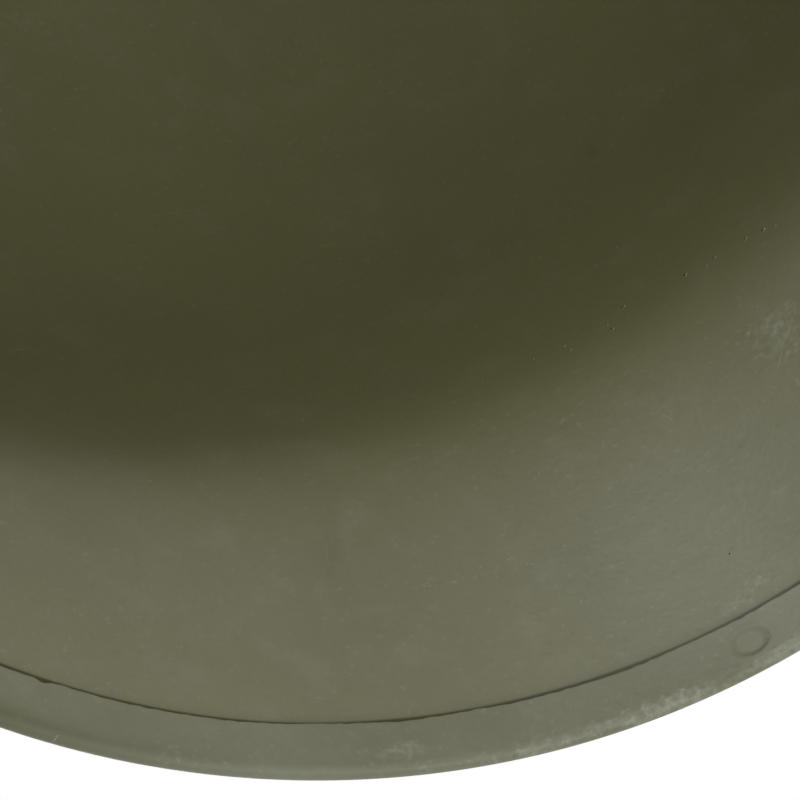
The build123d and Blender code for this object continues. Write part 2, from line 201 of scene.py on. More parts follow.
# %% [markdown]
# ## Finishes as sums
# A finish is a tree of nodes, and most of it is arithmetic: a mask times a colour, a noise minus
# a half. Written node by node that is hard to read, so a small class stands for a socket and turns
# Python's own + - * into Math nodes. Every other node comes from one method, by its type, its
# settings and its sockets.

# %% Shader arithmetic
class Tone:
    """One output socket. Sums of tones add Math nodes."""

    def __init__(self, nodes, socket):
        self.nodes = nodes
        self.socket = socket

    def __add__(self, other):
        return self.nodes.sum("ADD", self, other)

    def __sub__(self, other):
        return self.nodes.sum("SUBTRACT", self, other)

    def __rsub__(self, other):
        return self.nodes.sum("SUBTRACT", other, self)

    def __mul__(self, other):
        return self.nodes.sum("MULTIPLY", self, other)

    __radd__ = __add__
    __rmul__ = __mul__


class NodeTree:
    """The nodes of a material or a world, added by name."""

    def __init__(self, tree):
        self.tree = tree

    def node(self, kind, settings=None, sockets=None, out=0):
        """Adds a node: its settings first, then the values or links of its sockets."""
        node = self.tree.nodes.new(kind)
        for name, value in (settings or {}).items():
            setattr(node, name, value)
        for name, value in (sockets or {}).items():
            self.feed(node.inputs[name], value)
        return Tone(self, node.outputs[out])

    def feed(self, socket, value):
        if isinstance(value, Tone):
            self.tree.links.new(value.socket, socket)
        else:
            socket.default_value = value

    def sum(self, operation, *values):
        return self.node("ShaderNodeMath", {"operation": operation}, dict(enumerate(values)))

    def part(self, vector, axis):
        return self.node("ShaderNodeSeparateXYZ", sockets={0: vector}, out=axis)


class Finish(NodeTree):
    """A material with one Principled shader."""

    def __init__(self, name, **constants):
        self.material = bpy.data.materials.new(name)
        self.material.use_nodes = True
        super().__init__(self.material.node_tree)
        self.tree.nodes.clear()
        self.shader = self.tree.nodes.new("ShaderNodeBsdfPrincipled")
        output = self.tree.nodes.new("ShaderNodeOutputMaterial")
        self.tree.links.new(self.shader.outputs[0], output.inputs["Surface"])
        self.wear(**constants)

    def wear(self, **sockets):
        """Sets the shader's sockets, or feeds what changes over the surface into them."""
        for name, value in sockets.items():
            self.feed(self.shader.inputs[name.replace("_", " ")], value)

    def place(self):
        return self.node("ShaderNodeTexCoord", out="Object")

    def mark(self, name, out="Vector"):
        """A value that the mesh itself carries at each point."""
        return self.node("ShaderNodeAttribute", {"attribute_name": name}, out=out)

    def stretch(self, vector, amounts):
        return self.node("ShaderNodeVectorMath", {"operation": "MULTIPLY"}, {0: vector, 1: amounts})

    def cloud(self, vector, scale, detail=3.0, roughness=0.55):
        sockets = {"Vector": vector, "Scale": scale, "Detail": detail, "Roughness": roughness}
        return self.node("ShaderNodeTexNoise", sockets=sockets)

    def cells(self, vector, scale):
        return self.node("ShaderNodeTexVoronoi", sockets={"Vector": vector, "Scale": scale})

    def ramp(self, value, low, high):
        """Nought below low, one above high, and smooth between. High may be the smaller."""
        settings = {"interpolation_type": "SMOOTHSTEP"}
        return self.node("ShaderNodeMapRange", settings, {"Value": value, 1: low, 2: high})

    def blend(self, factor, first, second):
        sockets = {0: factor, 6: first, 7: second}
        return self.node("ShaderNodeMix", {"data_type": "RGBA"}, sockets, out=2)

    def relief(self, height, distance, strength=1.0, under=None):
        sockets = {"Height": height, "Distance": distance, "Strength": strength}
        if under is not None:
            sockets["Normal"] = under
        return self.node("ShaderNodeBump", sockets=sockets)


def tint(red, green, blue):
    """A screen colour, 0 to 255, as the shader's linear colour."""
    linear = [((value / 255 + 0.055) / 1.055) ** 2.4 for value in (red, green, blue)]
    return (*linear, 1.0)


print("paint in linear light", [round(value, 3) for value in tint(112, 112, 90)])

# %% [markdown]
# ## Paint
# A pot is painted inside and out in a lustreless olive drab. The inside is smooth, with faint
# clouds where the spray overlapped. The outside has ground cork or sand in the paint, so it feels
# like fine emery and shows as tiny grains. The noise works on real positions, so the grain keeps
# its size on every piece. Each mesh also carries marks: where it is worn, where it is stained, and
# how near it lies to a crease, along which a dark line of painted shade and dirt is drawn. Far up
# inside the bowl the paint turns warmer and darker, as painted shade.

# %% Olive paint, inside, outside and on the edging
olive = tint(114, 114, 92)
# Painted shade: a warmer, darker olive that the inside paint turns to far up in the bowl.
olive_shade_tint = tint(111, 109, 74)
olive_deep = tint(98, 98, 74)
olive_pale = tint(146, 147, 132)
rubbed_paint = tint(158, 160, 147)
stain = tint(86, 86, 64)
# The colour of the dark line along creases: painted shade and dirt.
crease_shade_and_dirt = tint(58, 53, 33)
# Heights, in metres, over which the inside paint turns to the painted shade tint.
shade_tint_heights = (0.048, 0.085)
crease_reach = 3.0


def olive_paint(name, grain, cloudiness=0.28, rubbed=0.66, roughness=0.5, base=olive, shade_tint=olive):
    finish = Finish(name, Specular_IOR_Level=0.4)
    place = finish.place()
    clouds = finish.cloud(place, 24, 5, 0.6)
    blotches = finish.cloud(place, 130, 4, 0.65)
    specks = finish.cloud(place, 1100, 2, 0.6)
    streaks = finish.cloud(finish.stretch(place, (0.5, 1.0, 2.4)), 240, 5, 0.75)
    wear_and_shade = finish.mark("wear_and_shade")
    bowl_shade = finish.ramp(finish.part(place, 2), *shade_tint_heights)
    scuffed = finish.part(wear_and_shade, 0)
    darkened = finish.part(wear_and_shade, 1)
    near_crease = finish.part(wear_and_shade, 2)
    # Painted shade and dirt: a dark line close to a crease, and a wider soft painted shade.
    crease_shade = finish.ramp(near_crease, crease_reach - 1.35, crease_reach - 0.9)
    soft_crease_shade = finish.ramp(near_crease, 0, crease_reach)
    rubs = finish.ramp(finish.cloud(place, 75, 6, 0.75), rubbed, 0.9)
    rough_wear = streaks * 0.45 + specks * 0.4 + scuffed * 0.5
    scuffs = finish.ramp(rough_wear, 0.5, 0.85) * finish.ramp(scuffed, 0, 0.3)
    # Painted shade: far up in the bowl the colour turns to the shade tint.
    colour = finish.blend(bowl_shade, base, shade_tint)
    colour = finish.blend(finish.ramp(clouds, 0.35, 0.7) * cloudiness, colour, olive_deep)
    colour = finish.blend(finish.ramp(blotches, 0.5, 0.75) * 0.12, colour, olive_pale)
    colour = finish.blend(finish.ramp(specks, 0.58, 0.8) * 0.26, colour, olive_pale)
    colour = finish.blend(finish.ramp(specks, 0.42, 0.25) * 0.2, colour, stain)
    colour = finish.blend(rubs * 0.4 + scuffs * 0.6, colour, rubbed_paint)
    # Stains, with the soft painted shade beside the creases, then the crease line of painted shade and
    # dirt.
    colour = finish.blend(darkened * (0.55 + blotches * 0.6) + soft_crease_shade * 0.2, colour, stain)
    colour = finish.blend(crease_shade * 0.82, colour, crease_shade_and_dirt)
    fine = finish.relief(specks, 0.00005, 0.6)
    orange_peel = finish.relief(blotches, 0.0003, 0.35, fine)
    bump = finish.relief(1 - finish.cells(place, 1300), grain * millimetre, 0.8, orange_peel)
    gloss = roughness + (clouds - 0.5) * 0.16 + (blotches - 0.5) * 0.12 - rubs * 0.08
    finish.wear(Base_Color=colour, Roughness=gloss, Normal=bump)
    return finish


inside_paint = olive_paint("inside_paint", grain=0.012, roughness=0.46, shade_tint=olive_shade_tint)
outside_paint = olive_paint("outside_paint", grain=0.26, rubbed=0.57, roughness=0.66)
band_paint = olive_paint("band_paint", 0.02, 0.55, 0.58, 0.5, tint(113, 115, 96))
print("paints", [paint.material.name for paint in (inside_paint, outside_paint, band_paint)])

# %% [markdown]
# ## The shell
# A press leaves the steel with long, shallow waves that only show in its gloss. The mesh is two
# skins a millimetre apart. Its rows crowd towards the edge and its columns towards the part of
# the visor that the photograph shows; even columns would waste most of them on the nape.

# %% Helpers that turn grids of points into pieces
def make_piece(name, points, faces, finish, body="pot", sharp=50):
    """A smooth mesh from points in millimetres."""
    mesh = bpy.data.meshes.new(name)
    mesh.from_pydata((np.asarray(points) * millimetre).tolist(), [], faces)
    mesh.validate()
    for each in finish if isinstance(finish, (list, tuple)) else [finish]:
        mesh.materials.append(each.material)
    mesh.shade_smooth()
    mesh.set_sharp_from_angle(angle=math.radians(sharp))
    piece = add_object(name, mesh)
    if body:
        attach(piece, body)
    return piece


def grid_faces(rows, columns, round_rows=False, round_columns=False, start=0):
    """Four-sided faces of a grid, which may close on itself either way."""
    row = np.arange(rows if round_rows else rows - 1)[:, None]
    column = np.arange(columns if round_columns else columns - 1)[None, :]
    next_row, next_column = (row + 1) % rows, (column + 1) % columns
    corners = [
        row * columns + column,
        row * columns + next_column,
        next_row * columns + next_column,
        next_row * columns + column,
    ]
    return (np.stack(corners, axis=-1).reshape(-1, 4) + start).tolist()


def tube_faces(rows, corners, start=0):
    """Faces of a tube of rings, with a cap at each end."""
    faces = grid_faces(rows, corners, round_columns=True, start=start)
    faces.append(list(range(start, start + corners))[::-1])
    faces.append(list(range(start + (rows - 1) * corners, start + rows * corners)))
    return faces


def add_mark(piece, name, values):
    """Stores a vector at each point of a mesh, for its finish to read."""
    mark = piece.data.attributes.new(name, "FLOAT_VECTOR", "POINT")
    mark.data.foreach_set("vector", np.asarray(values, dtype=np.float32).ravel())


def waves(first, second, reach, seed):
    """Smooth chance waves over two lengths, between about -1 and 1."""
    chance = np.random.default_rng(seed)
    total = 0
    for _ in range(6):
        turn, phase = chance.uniform(0, 2 * math.pi, 2)
        length = reach * chance.uniform(0.7, 1.8)
        total = total + np.sin(
            2 * math.pi * (first * math.cos(turn) + second * math.sin(turn)) / length + phase
        )
    return total / 3.5


photographed_angle = math.radians(18)


def crowded_angles(count, crowding=0.6):
    """Angles round the shell from nape to nape, closest together where the photograph looks."""
    even = -math.pi + 2 * math.pi * (np.arange(count) + 0.5) / count
    swing = np.sin(even - photographed_angle) - np.sin(-math.pi - photographed_angle)
    return even - crowding * swing


def hump(distance):
    """One in the middle, nought from a distance of one outwards."""
    return np.clip(1 - distance**2, 0, None) ** 2


# %% Where the paint is worn, in pixels of the photograph: place, half sizes, tilt and strength
scuff_patches = (
    (788, 330, 34, 52, -16, 0.26),
    (756, 344, 40, 40, 10, 0.2),
    (180, 215, 46, 10, -8, 0.22),
    (328, 246, 34, 9, -6, 0.2),
    (108, 216, 20, 8, 0, 0.2),
    (474, 574, 70, 20, -16, 0.2),
    (30, 25, 40, 26, 20, 0.25),
    (240, 300, 130, 30, -10, 0.14),
    (745, 595, 56, 12, -38, 0.34),
    (600, 655, 60, 16, -20, 0.15),
    (120, 620, 90, 40, 14, 0.14),
    (25, 348, 40, 14, 0, 0.25),
)
dark_patches = (
    (591, 153, 9, 6, -50, 0.45),
    (330, 550, 12, 30, 0, 0.2),
)
patch_narrowing = 0.7


def patch_mark(points, patches):
    """How strongly each point is marked by soft oval patches of the picture."""
    across, down = in_picture(points)
    total = 0 * across
    for x, y, half_x, half_y, tilt, strength in patches:
        turn = math.radians(tilt)
        along = (across - x) * math.cos(turn) + (down - y) * math.sin(turn)
        aside = (down - y) * math.cos(turn) - (across - x) * math.sin(turn)
        total = total + strength * hump(np.hypot(along / half_x, aside / half_y) * patch_narrowing)
    return np.clip(total, 0, 1)


def lip_drift(angle):
    """How much deeper the edging's lip sits where the strip was folded off its line."""
    return drift_depth * hump((angle - drift_angle) / drift_turn)


# %% Shell
lip_at = edging_depth - fold_radius
drift_depth, drift_angle, drift_turn = 1.2, math.radians(55), math.radians(33)
# How the painted shade-and-dirt line past the edging's lip is narrowed, and widened where the strip
# drifts.
shade_line_narrowing, shade_line_widening = 0.29, 1.34
rim_wear_most, rim_wear_height = 0.35, 16
press_depth, press_length, ripple_share, ripple_length = 0.05, 62, 0.4, 24
crown_dip = 0.1
shell_columns, shell_rows = 640, 180
row_share = np.arange(1, shell_rows + 1)[:, None] / shell_rows
grow = 3.0 * row_share**2 - 2.8 * row_share**3 + 0.8 * row_share**4
shell_angles = crowded_angles(shell_columns)[None, :]
settle = 2 * row_share**4 / (1 + row_share**4)
mean_edge = edge_rise / 3
drop = shell_height - mean_edge + (mean_edge - edge_height(shell_angles)) * settle
shell_heights = shell_height - drop * grow
shell_angles = shell_angles + 0 * shell_heights
face_points = outer_point(shell_heights, shell_angles)
face_normals = outer_normal(shell_heights, shell_angles)
round_shell = shell_angles * half_width
press_waves = waves(round_shell, shell_heights, press_length, 3)
press_waves = press_waves + ripple_share * waves(round_shell, shell_heights, ripple_length, 8)
press_waves = (press_waves - press_waves.max()) * press_depth * (1 - row_share**8)
skins = []
for depth in (0, sheet):
    skin_points = face_points + face_normals * (press_waves - depth)[..., None]
    crown = [[0, bowl_shift, shell_height - depth - crown_dip]]
    skins.append(np.vstack([crown, skin_points.reshape(-1, 3)]))
per_skin = len(skins[0])
faces = []
for skin_place in (0, 1):
    start = skin_place * per_skin
    quads = grid_faces(shell_rows, shell_columns, round_columns=True, start=start + 1)
    fan = [
        [start, start + 1 + (column + 1) % shell_columns, start + 1 + column]
        for column in range(shell_columns)
    ]
    for face in [quad[::-1] for quad in quads] + fan:
        faces.append(face if skin_place == 1 else face[::-1])
last_row = 1 + (shell_rows - 1) * shell_columns
for column in range(shell_columns):
    here, after = last_row + column, last_row + (column + 1) % shell_columns
    faces.append([here, here + per_skin, after + per_skin, after])
shell_points = np.vstack(skins)
shell = make_piece("pressed_shell", shell_points, faces, [outside_paint, inside_paint])
for polygon in shell.data.polygons:
    if polygon.vertices[0] >= per_skin:
        polygon.material_index = 1
over_edge = np.append(shell_height, shell_heights - edge_height(shell_angles))[:, None]
rim_wear = rim_wear_most * np.exp(-over_edge / rim_wear_height)
outside_wear = np.hstack([rim_wear, 0 * rim_wear, 0 * rim_wear])
row_gaps = np.linalg.norm(np.diff(skin_points, axis=0), axis=-1)
above_edge = np.cumsum(np.vstack([0 * row_gaps[:1], row_gaps[::-1]]), axis=0)[::-1]
# The shell just past the edging's lip is painted dark with shade and dirt.
past_lip = above_edge - lip_at + shade_line_narrowing - shade_line_widening * lip_drift(shell_angles)
near_lip = np.append(0, np.clip(crease_reach - past_lip, 0, None))
inside_wear_and_shade = [patch_mark(skins[1], scuff_patches), patch_mark(skins[1], dark_patches), near_lip]
add_mark(shell, "wear_and_shade", np.vstack([outside_wear, np.stack(inside_wear_and_shade, axis=-1)]))
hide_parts("shell")
print("shell faces", len(shell.data.polygons))

# %% [markdown]
# ## The edging
# A strip of thin steel is folded over the raw edge and spot-welded where its ends meet at the
# nape. Its inner lip isn't quite straight and stands off the sheet by a hair, which draws the
# dark line in the photograph. The CAD strip is a clean offset; the dressed one keeps its size and
# adds the ragged lip, the nick in it, faint waves and the burrs round the hollows of the welds.

# %% Edging
edging_columns = 1500
seam_gap, seam_weld_spacing = 0.4, 9.0
weld_angle = math.radians(-4.5)
weld_turn = seam_weld_spacing / 2 / half_width
weld_radius, weld_narrowing, weld_depth, weld_wall = 2.6, 0.76, 0.2, 0.34
weld_burr, burr_ring, burr_spread, weld_shade_ring = 0.04, 1.14, 0.14, 0.95
weld_angles = (weld_angle, math.pi - weld_turn, weld_turn - math.pi)
weld_shade_turn = math.radians(200)
nick_angle, nick_reach, nick_depth = math.radians(38.5), 1.3, 0.5
lip_round = 0.2
rag_depth, rag_length, fine_rag_depth, fine_rag_length = 0.10, 8, 0.07, 2.4
spring_gap, spring_change, spring_length = 0.17, 0.06, 30
leg_wave_depth, leg_wave_length = 0.03, 14


def edge_frame(angle):
    """At the middle of the sheet's edge: the place, outwards through the sheet, and up it."""
    step = 1e-4
    height = edge_height(angle)
    out = outer_normal(height, angle)
    after = outer_point(edge_height(angle + step), angle + step)
    before = outer_point(edge_height(angle - step), angle - step)
    return outer_point(height, angle) - out * (sheet / 2), out, np.cross(out, unit(after - before))


def onto_sheet(points):
    """The nearest places on the sheet's middle, and the outward directions there."""
    angle = np.arctan2(points[..., 0] / half_width, (bowl_shift - points[..., 1]) / half_length)
    height = points[..., 2]
    step = 1e-5
    for _ in range(5):
        base = outer_point(height, angle)
        along = (outer_point(height, angle + step) - base) / step
        angle = angle + ((points - base) * along).sum(axis=-1) / (along * along).sum(axis=-1)
    normal = outer_normal(height, angle)
    over = ((points - outer_point(height, angle)) * normal).sum(axis=-1, keepdims=True)
    return points - normal * (over + sheet / 2), normal


open_share = 1 - seam_gap / 2 / half_width / math.pi
edging_angles = crowded_angles(edging_columns) * open_share
round_edge = edging_angles * half_width
rag = rag_depth * waves(round_edge, 0 * round_edge, rag_length, 21)
rag = rag + fine_rag_depth * waves(round_edge, 0 * round_edge, fine_rag_length, 22)
spring = spring_gap + spring_change * waves(round_edge, 0 * round_edge, spring_length, 5)
nick = hump((edging_angles - nick_angle) * half_width / nick_reach)
middle, out, up = edge_frame(edging_angles)
outside, inside, depths, crease_shades = [], [], [], []


def add_leg_row(share, side):
    """A row along one leg, by its share of the leg. Side is 1 outside and -1 in the bowl."""
    bowl_side = side < 0
    ragged = (lip_drift(edging_angles) + rag - nick_depth * nick) * (share**2 if bowl_side else 0)
    reach = (lip_at + ragged) * share
    centre, normal = onto_sheet(middle + up * reach[:, None])
    stand_off = spring * share**3 if bowl_side else 0 * spring
    leg_waves = leg_wave_depth * waves(round_edge, 2 * reach, leg_wave_length, 31)
    thick = fold_radius + stand_off + leg_waves
    crease_shade = 0 * reach
    for spot in weld_angles if bowl_side else ():
        along = (edging_angles - spot) * half_width / weld_radius
        upward = (reach - (edging_depth / 2 - fold_radius)) / (weld_radius * weld_narrowing)
        ring = np.hypot(along, upward)
        sunk = np.clip((1 - ring) / weld_wall, 0, 1)
        burr = weld_burr * np.exp(-(((ring - burr_ring) / burr_spread) ** 2))
        thick = thick - weld_depth * (3 - 2 * sunk) * sunk**2 * (0.7 + 0.3 * ring) + burr
        # Painted shade and dirt round each weld's hollow, stronger on the side where the shade falls.
        shaded_side = 0.5 - 0.5 * np.sin(np.arctan2(upward, along) + weld_shade_turn)
        off_ring = 2 * weld_radius * np.abs(ring - weld_shade_ring)
        crease_shade = np.maximum(crease_shade, crease_reach - 0.95 - off_ring - 0.5 * shaded_side)
    rounding = max(0, (share - 1) * lip_at / lip_round + 1)
    thick = thick - lip_round * (1 - math.sqrt(1 - rounding**2))
    under = fold_radius - strip + stand_off
    outside.append(centre + normal * (side * thick)[:, None])
    inside.append(centre + normal * (side * under)[:, None])
    depths.append(reach)
    crease_shades.append(crease_shade)


lip_shares = [1 - lip_round / lip_at * rest for rest in (1, 0.6, 0.3, 0.1, 0)]
for share in lip_shares[::-1] + np.linspace(0.94, 0.06, 12).tolist():
    add_leg_row(share, 1)
for turn in np.linspace(0, math.pi, 15):
    across = out * math.cos(turn) - up * math.sin(turn)
    outside.append(middle + across * fold_radius)
    inside.append(middle + across * (fold_radius - strip))
    depths.append(-fold_radius * math.sin(turn) + 0 * rag)
    crease_shades.append(0 * rag)
for share in np.linspace(0.04, 0.94, 32).tolist() + lip_shares:
    add_leg_row(share, -1)
section = outside + inside[::-1]
faces = [face[::-1] for face in grid_faces(len(section), edging_columns, round_rows=True)]
for end in (0, edging_columns - 1):
    for row in range(len(outside) - 1):
        pair = [row, row + 1, len(section) - 2 - row, len(section) - 1 - row]
        cap = [step * edging_columns + end for step in pair]
        faces.append(cap if end else cap[::-1])
edging_points = np.array(section).reshape(-1, 3)
edging = make_piece("folded_edging", edging_points, faces, band_paint)
print("edging faces", len(edging.data.polygons))

# %% [markdown]
# The band is rubbed where it meets tables. On the right of the picture the fold is pale and grainy,
# and on the left a dark stripe follows it. The creases round the welds' hollows are darkened with
# painted shade and dirt, more on one side where the shade falls.

# %% Wear of the edging
band_scuffs = (
    (410, 747, 24, 13, -6, 0.28),
    (376, 752, 40, 10, 0, 0.26),
    (180, 752, 60, 16, 14, 0.2),
    (600, 722, 110, 18, -17, 0.2),
    (700, 690, 80, 18, -27, 0.1),
    (690, 670, 60, 10, -27, 0.14),
    (748, 634, 12, 8, 0, 0.2),
    (780, 650, 40, 14, -33, 0.16),
)
band_darks = (
    (721, 683, 5, 2.4, -30, 0.8),
    (732, 668, 24, 8, -27, 0.2),
    (600, 742, 30, 5, -17, 0.3),
)
scuff_reach, left_scuffing, more_scuffing = 1.5, 0.04, 0.24
dark_reach, dark_fading = 1.7, 2.8
from_fold = np.array(depths + depths[::-1]).ravel() + fold_radius
rightward = np.clip(in_picture(edging_points)[0] / picture_width, 0, 1)
fold_scuffs = np.exp(-((from_fold / scuff_reach) ** 2)) * (left_scuffing + more_scuffing * rightward)
fold_darks = np.exp(-((from_fold / dark_reach) ** 2)) * np.clip(1 - dark_fading * rightward, 0, 1)
band_marks = [
    np.clip(fold_scuffs + patch_mark(edging_points, band_scuffs), 0, 1),
    np.clip(fold_darks + patch_mark(edging_points, band_darks), 0, 1),
    np.array(crease_shades + crease_shades[::-1]).ravel(),
]
add_mark(edging, "wear_and_shade", np.stack(band_marks, axis=-1))
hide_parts("edging")
print("band rows", len(depths))

# %% [markdown]
# ## Small marks in the paint
# Nicks, scratches and tiny craters are real shapes: thin scales of bare or filler-coloured paint
# and small ring-shaped burrs. Each is placed by its pixel in the photograph: a ray from the camera
# through that pixel meets the shell or the edging, and a mark that meets neither is skipped. The
# raised stamp near the middle of the picture is lettering and is left out, and only the nicks
# round it are kept.

# %% Marks, in pixels of the photograph
nick_clusters = (
    (428, 586, 6, 1.5, 6, 7), (457, 574, 1, 1, 0, 2), (479, 568, 5, 2.5, -20, 7),
    (496, 578, 2, 1, -30, 3), (511, 559, 6, 2, -5, 9), (533, 564, 8, 0.6, -2, 9),
    (547, 549, 4, 1.2, 0, 6), (566, 547, 3, 2, 0, 4), (550, 569, 1, 1, 0, 2), (581, 601, 1, 1, 0, 2),
    (595, 532, 3, 1, 0, 3), (538, 474, 1, 1, 0, 2), (618, 482, 1, 1, 0, 2), (773, 387, 3, 2, 0, 4),
    (655, 398, 1, 1, 0, 1), (698, 387, 1, 1, 0, 2), (732, 661, 3, 3, 0, 5), (661, 699, 2, 3, 60, 6),
    (735, 678, 2, 2, 0, 3), (761, 623, 1, 1, 0, 2), (460, 764, 1, 2, 80, 4), (531, 703, 3, 1, -15, 4),
    (619, 697, 3, 2, 20, 4), (640, 720, 14, 4, -22, 12), (102, 649, 1, 1, 0, 2),
    (146, 634, 1, 1, 0, 2), (118, 640, 2, 3, 40, 4), (82, 614, 3, 6, 0, 7), (199, 599, 2, 1, 20, 3),
    (222, 667, 1, 1, 0, 2), (270, 585, 1, 1, 0, 1), (286, 578, 1, 1, 0, 2), (384, 586, 4, 3, 30, 5),
    (241, 723, 2, 1, 0, 3), (180, 642, 24, 14, 20, 14), (330, 420, 90, 60, 0, 16),
)
scratches = (
    (792, 321, 784, 341, 0.55), (784, 341, 777, 373, 0.6), (724, 430, 729, 438, 0.5),
    (663, 415, 676, 422, 0.5), (326, 543, 327, 559, 0.45), (57.5, 736, 50.5, 745, 0.9),
    (152, 216, 200, 209, 0.3), (312, 247, 350, 243, 0.3), (236, 387, 256, 385, 0.4),
    (8, 351, 32, 348, 0.4), (745, 596, 763, 581, 0.4), (730, 575, 748, 571, 0.35),
)
craters = (
    (763, 230, 7), (745, 239, 6.5), (775, 226, 4), (714, 258, 5.5), (706, 266, 4), (685, 275, 6.5),
    (616, 247, 3), (595, 266, 3), (623, 307, 6), (607, 325, 4.5), (612, 329, 6), (564, 346, 5),
    (570, 350, 4.5), (646, 347, 3), (533, 359, 4), (482, 380, 4), (539, 258, 3.5), (596, 150, 4),
    (730, 554, 3.5), (302, 420, 3), (150, 480, 3),
)
flake_step = 2.2


def scattered_nicks(chance):
    """Fine flakes of the clusters and the broken scratches: place, half sizes and tilt of each."""
    flakes = []
    for x, y, spread_x, spread_y, tilt, count in nick_clusters:
        turn = math.radians(tilt)
        for _ in range(count):
            along, aside = chance.normal(0, 0.55, 2) * (spread_x, spread_y)
            flake_x = x + along * math.cos(turn) - aside * math.sin(turn)
            flake_y = y + along * math.sin(turn) + aside * math.cos(turn)
            half_x, half_y = chance.uniform(0.5, 1.5), chance.uniform(0.28, 0.5)
            flakes.append((flake_x, flake_y, half_x, half_y, tilt + chance.uniform(-30, 30)))
    for from_x, from_y, to_x, to_y, half_y in scratches:
        length = math.hypot(to_x - from_x, to_y - from_y)
        tilt = math.degrees(math.atan2(to_y - from_y, to_x - from_x))
        for share in np.arange(0, 1, flake_step / length):
            flake_x, flake_y = from_x + (to_x - from_x) * share, from_y + (to_y - from_y) * share
            half_x = chance.uniform(0.9, 1.7)
            flakes.append((flake_x, flake_y + chance.normal(0, 0.2), half_x, half_y, tilt))
    return flakes


painted = BVHTree.FromPolygons(
    shell_points.tolist() + edging_points.tolist(),
    [list(polygon.vertices) for polygon in shell.data.polygons]
    + [[corner + len(shell_points) for corner in polygon.vertices] for polygon in edging.data.polygons],
)
pixel_size = camera_distance / pixels_per_slope


def paint_at(x, y):
    """The point of the paint that the photograph shows at a pixel, and its axes there, if any."""
    ray = look + camera_right * ((x - picture_middle) / pixels_per_slope)
    ray = (ray - camera_up * ((y - picture_middle) / pixels_per_slope)).normalized()
    place, normal, _, _ = painted.ray_cast(camera_place, ray)
    if place is None:
        return None
    if normal.dot(ray) > 0:
        normal = -normal
    rightward = (camera_right - normal * camera_right.dot(normal)).normalized()
    return np.array(place), np.array(rightward), np.array(normal), np.array(normal.cross(rightward))


def laid_rings(spot, half_x, half_y, tilt, profile, chance):
    """Rings of points on the paint. The profile gives each ring's share of the size, its height."""
    place, rightward, normal, upward = spot
    corners = 10
    turn = np.linspace(0, 2 * math.pi, corners, endpoint=False)
    rough = 1 + chance.uniform(-0.28, 0.28, corners)
    tilted = math.radians(-tilt)
    rings = []
    for share, height in profile:
        along = half_x * share * rough * np.cos(turn) * pixel_size
        aside = half_y * share * rough * np.sin(turn) * pixel_size
        flat = np.outer(along * math.cos(tilted) - aside * math.sin(tilted), rightward)
        flat = flat + np.outer(along * math.sin(tilted) + aside * math.cos(tilted), upward)
        for offset in place + flat:
            foot, foot_normal, _, _ = painted.find_nearest(Vector(offset))
            side = 1 if np.dot(foot_normal, normal) > 0 else -1
            rings.append(np.array(foot) + side * height * np.array(foot_normal))
    return rings, corners


def lay_marks(name, marks, profile, finish, chance):
    points, faces = [], []
    for x, y, *shape in marks:
        spot = paint_at(x, y)
        if spot is None:
            continue
        rings, corners = laid_rings(spot, *shape, profile, chance)
        start = len(points)
        points += rings
        faces += tube_faces(len(profile), corners, start)
    piece = make_piece(name, points, faces, finish, sharp=70)
    print(name, len(marks), "marks")
    return piece


chipped = Finish("chipped_paint", Roughness=0.55, Specular_IOR_Level=0.35)
chip_noise = chipped.cloud(chipped.place(), 1500, 3, 0.7)
chip_mix = chipped.ramp(chip_noise, 0.35, 0.65)
chip_colour = chipped.blend(chip_mix, tint(156, 158, 146), tint(116, 116, 94))
chipped.wear(Base_Color=chip_colour, Normal=chipped.relief(chip_noise, 0.00008, 0.7))
pitted = Finish("pitted_paint", Roughness=0.5, Specular_IOR_Level=0.35)
pit_noise = pitted.cloud(pitted.place(), 1200, 3, 0.6)
# Painted shade and highlight: each crater's middle is painted near black, and one side of its rim pale.
pit_shade_and_glint = pitted.mark("depth")
pit_colour = pitted.blend(pit_noise * 0.3, tint(96, 96, 74), olive_pale)
pit_colour = pitted.blend(pitted.part(pit_shade_and_glint, 0), pit_colour, tint(30, 29, 20))
pitted.wear(Base_Color=pitted.blend(pitted.part(pit_shade_and_glint, 1), pit_colour, tint(188, 188, 172)))
chip_profile = ((0.8, -0.02), (0.62, 0.01), (0.3, 0.02))
pit_profile = ((1.25, -0.02), (1.0, 0.035), (0.75, 0.05), (0.5, 0.012), (0.3, 0.004))
chance = np.random.default_rng(7)
chips = lay_marks("paint_nicks", scattered_nicks(chance), chip_profile, chipped, chance)
round_pits = [(x, y, size * 0.42, size * 0.36, -25) for x, y, size in craters]
pits = lay_marks("paint_craters", round_pits, pit_profile, pitted, chance)
ring_points = len(pits.data.vertices) // len(craters) // len(pit_profile)
round_ring = np.linspace(0, 2 * math.pi, ring_points, endpoint=False)
lit_side = np.clip(np.cos(round_ring + math.radians(40)), 0, 1)
# Painted shade in the craters' middles, and painted highlights on one lit side of their rims.
ring_shades = np.repeat([0.0, 0.0, 0.3, 1.0, 1.0], ring_points)
ring_glints = np.outer([0.0, 0.6, 0.9, 0.2, 0.0], lit_side).ravel()
pit_shades_and_glints = np.stack([ring_shades, ring_glints, 0 * ring_glints], axis=-1)
add_mark(pits, "depth", np.tile(pit_shades_and_glints, (len(craters), 1)))

# %% [markdown]
# ## The webbing
# Each strap is a cotton web, sewn into an eye at its ends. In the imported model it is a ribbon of
# flat stations, whose cross lines are exactly as long as the web is wide, so its mesh still tells
# where they are. From them come smooth, dense stations with rounded selvedges, and a mark that
# tells the finish how far along and across the web each point lies. A weave in plain space would
# be shorter to write, but its ribs would slant wherever the strap turns.

# %% Webbing finish
rib_step, yarn_step, yarn_slant = 1.3, 1.1, 2.4


